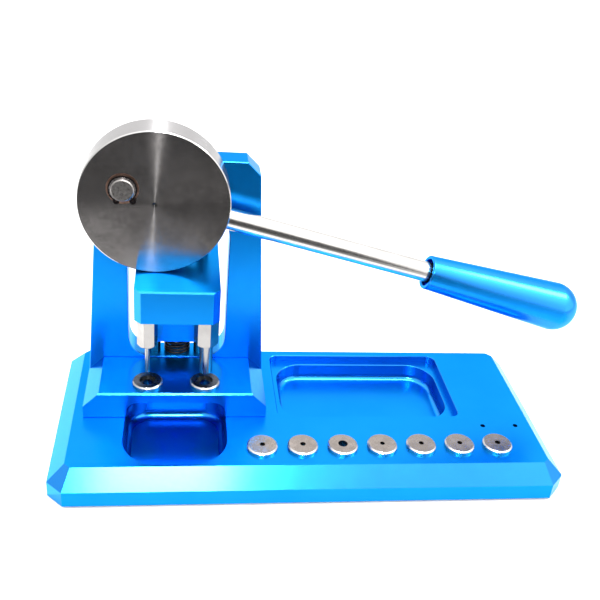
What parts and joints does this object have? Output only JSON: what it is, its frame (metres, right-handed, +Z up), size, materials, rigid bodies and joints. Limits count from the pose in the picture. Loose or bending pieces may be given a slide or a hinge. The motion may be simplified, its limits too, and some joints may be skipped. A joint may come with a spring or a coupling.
{
  "type": "eccentric lever press for small bearings",
  "caption": "Bench lever press: an eccentric disc on a handle drives a spring-returned ram with two punches over a pair of dies, on a flat base with a tray and a row of spare dies.",
  "frame": {"origin": "centre of the base plate's footprint, on the table under the rubber feet", "axes": "+X along the base towards the handle's grip, +Y from the front edge to the column behind, +Z up"},
  "size_m": [0.2546, 0.108, 0.1544],
  "materials": {
    "blue_anodised": "satin blue anodised",
    "rubber": "matte",
    "black_steel": "black oxide",
    "ground_steel": "turned and ground",
    "polished_steel": "polished",
    "spring_steel": "dark",
    "bronze": "satin",
    "die_steel": "turned"
  },
  "bodies": {
    "base": {"base_plate": "blue_anodised", "foot_front_left": "rubber", "foot_front_right": "rubber", "foot_rear_left": "rubber", "foot_rear_right": "rubber", "base_screws": "black_steel", "anvil_block": "blue_anodised", "column": "blue_anodised", "guide_post_left": "polished_steel", "guide_post_right": "polished_steel", "pivot_shaft": "polished_steel", "circlip": "spring_steel", "rear_washer": "polished_steel", "rear_nut": "polished_steel"},
    "cam_lever": {"cam_disc": "ground_steel", "pivot_bush": "bronze", "handle_rod": "polished_steel", "handle_grip": "blue_anodised"},
    "ram": {"ram_block": "blue_anodised", "guide_bush_left_lower": "bronze", "guide_bush_left_upper": "bronze", "guide_bush_right_lower": "bronze", "guide_bush_right_upper": "bronze", "thin_punch_holder": "polished_steel", "thin_punch": "polished_steel", "thick_punch_holder": "polished_steel", "thick_punch": "polished_steel", "return_spring": "spring_steel"},
    "anvil_die_left": {"anvil_die_left": "die_steel"},
    "anvil_die_right": {"anvil_die_right": "die_steel"},
    "spare_die_1": {"spare_die_1": "die_steel"},
    "spare_die_2": {"spare_die_2": "die_steel"},
    "spare_die_3": {"spare_die_3": "die_steel"},
    "spare_die_4": {"spare_die_4": "die_steel"},
    "spare_die_5": {"spare_die_5": "die_steel"},
    "spare_die_6": {"spare_die_6": "die_steel"},
    "spare_die_7": {"spare_die_7": "die_steel"}
  },
  "joints": [
    {"name": "cam_pivot", "type": "hinge", "parent": "base", "child": "cam_lever", "pos_m": [-0.0881, 0.0106, 0.1284], "axis": [0, 1, 0], "range_deg": [-70, 10]},
    {"name": "ram_slide", "type": "slide", "parent": "base", "child": "ram", "axis": [0, 0, 1], "range_m": [-0.0024, 0.0165], "stiffness_N_per_m": 1300, "springref_m": 0.01627, "deforming": ["return_spring"]},
    {"name": "anvil_die_left_lift", "type": "slide", "parent": "base", "child": "anvil_die_left", "axis": [0, 0, 1], "range_m": [0, 0.0038]},
    {"name": "anvil_die_right_lift", "type": "slide", "parent": "base", "child": "anvil_die_right", "axis": [0, 0, 1], "range_m": [0, 0.0038]},
    {"name": "spare_die_1_lift", "type": "slide", "parent": "base", "child": "spare_die_1", "axis": [0, 0, 1], "range_m": [0, 0.03]},
    {"name": "spare_die_2_lift", "type": "slide", "parent": "base", "child": "spare_die_2", "axis": [0, 0, 1], "range_m": [0, 0.03]},
    {"name": "spare_die_3_lift", "type": "slide", "parent": "base", "child": "spare_die_3", "axis": [0, 0, 1], "range_m": [0, 0.03]},
    {"name": "spare_die_4_lift", "type": "slide", "parent": "base", "child": "spare_die_4", "axis": [0, 0, 1], "range_m": [0, 0.03]},
    {"name": "spare_die_5_lift", "type": "slide", "parent": "base", "child": "spare_die_5", "axis": [0, 0, 1], "range_m": [0, 0.03]},
    {"name": "spare_die_6_lift", "type": "slide", "parent": "base", "child": "spare_die_6", "axis": [0, 0, 1], "range_m": [0, 0.03]},
    {"name": "spare_die_7_lift", "type": "slide", "parent": "base", "child": "spare_die_7", "axis": [0, 0, 1], "range_m": [0, 0.03]}
  ],
  "couplings": [
    {"joint": "ram_slide", "follows": "cam_pivot", "m_per_rad": -0.01346}
  ]
}
